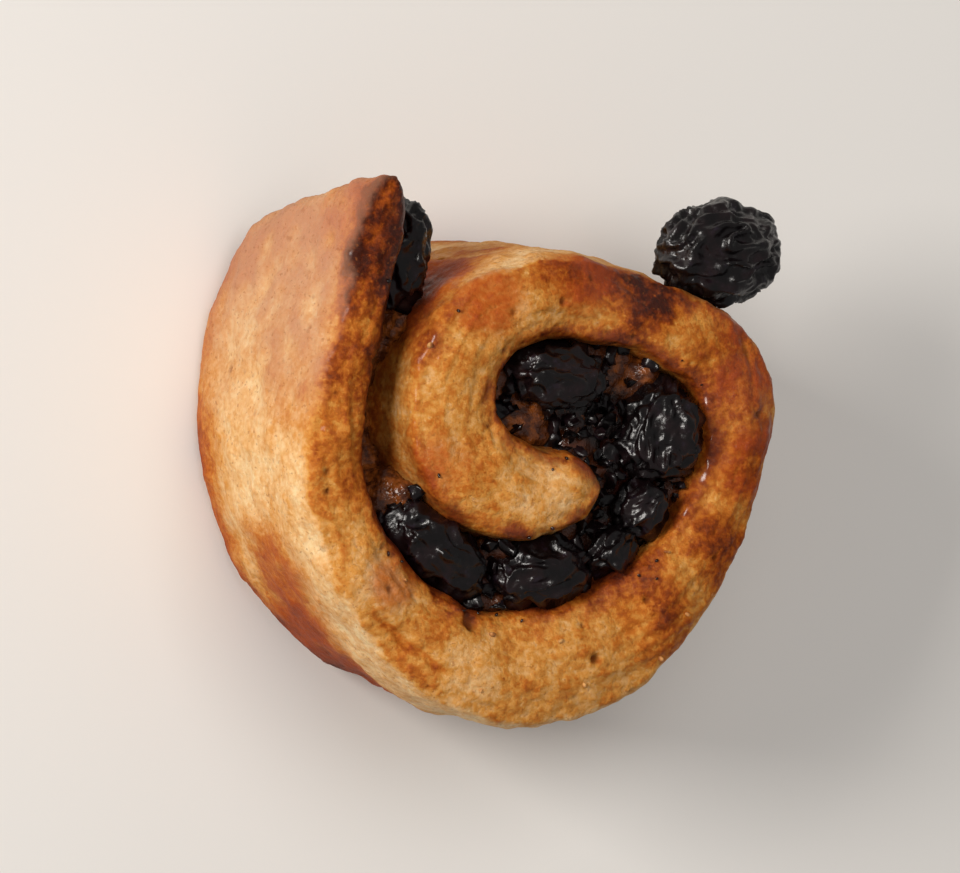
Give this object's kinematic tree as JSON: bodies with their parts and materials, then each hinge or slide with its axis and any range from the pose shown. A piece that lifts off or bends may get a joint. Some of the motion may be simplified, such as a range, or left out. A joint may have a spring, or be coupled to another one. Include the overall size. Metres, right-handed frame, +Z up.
{
  "type": "raisin swirl pastry",
  "caption": "Small baked pastry slice: a rolled dough strip with raisins and a dark sugar filling between its turns, lying on a cut face.",
  "frame": {"origin": "middle of the bounding box at the flat base that the pastry lies on", "axes": "+Z up along the roll's axis, swirl face on top; +X to the right and +Y away when the strip's loose outer end is at the upper left, seen from above"},
  "size_m": [0.0446, 0.0456, 0.0246],
  "materials": {
    "baked_dough": "matt baked crust with small pits and a few sugar grains",
    "dark_filling": "sticky boiled sugar and spice, glossy",
    "raisin_skin": "wrinkled black skin, satin with small glints"
  },
  "bodies": {
    "root": {"dough": "baked_dough", "filling": "dark_filling", "raisin_core": "raisin_skin", "raisin_mouth": "raisin_skin", "raisin_small": "raisin_skin", "raisin_corner": "raisin_skin", "raisin_front": "raisin_skin", "raisin_left": "raisin_skin", "raisin_end": "raisin_skin", "raisin_outside": "raisin_skin", "raisin_under_core": "raisin_skin", "raisin_under_mouth": "raisin_skin", "raisin_under_front": "raisin_skin", "raisin_under_left": "raisin_skin"}
  },
  "joints": []
}
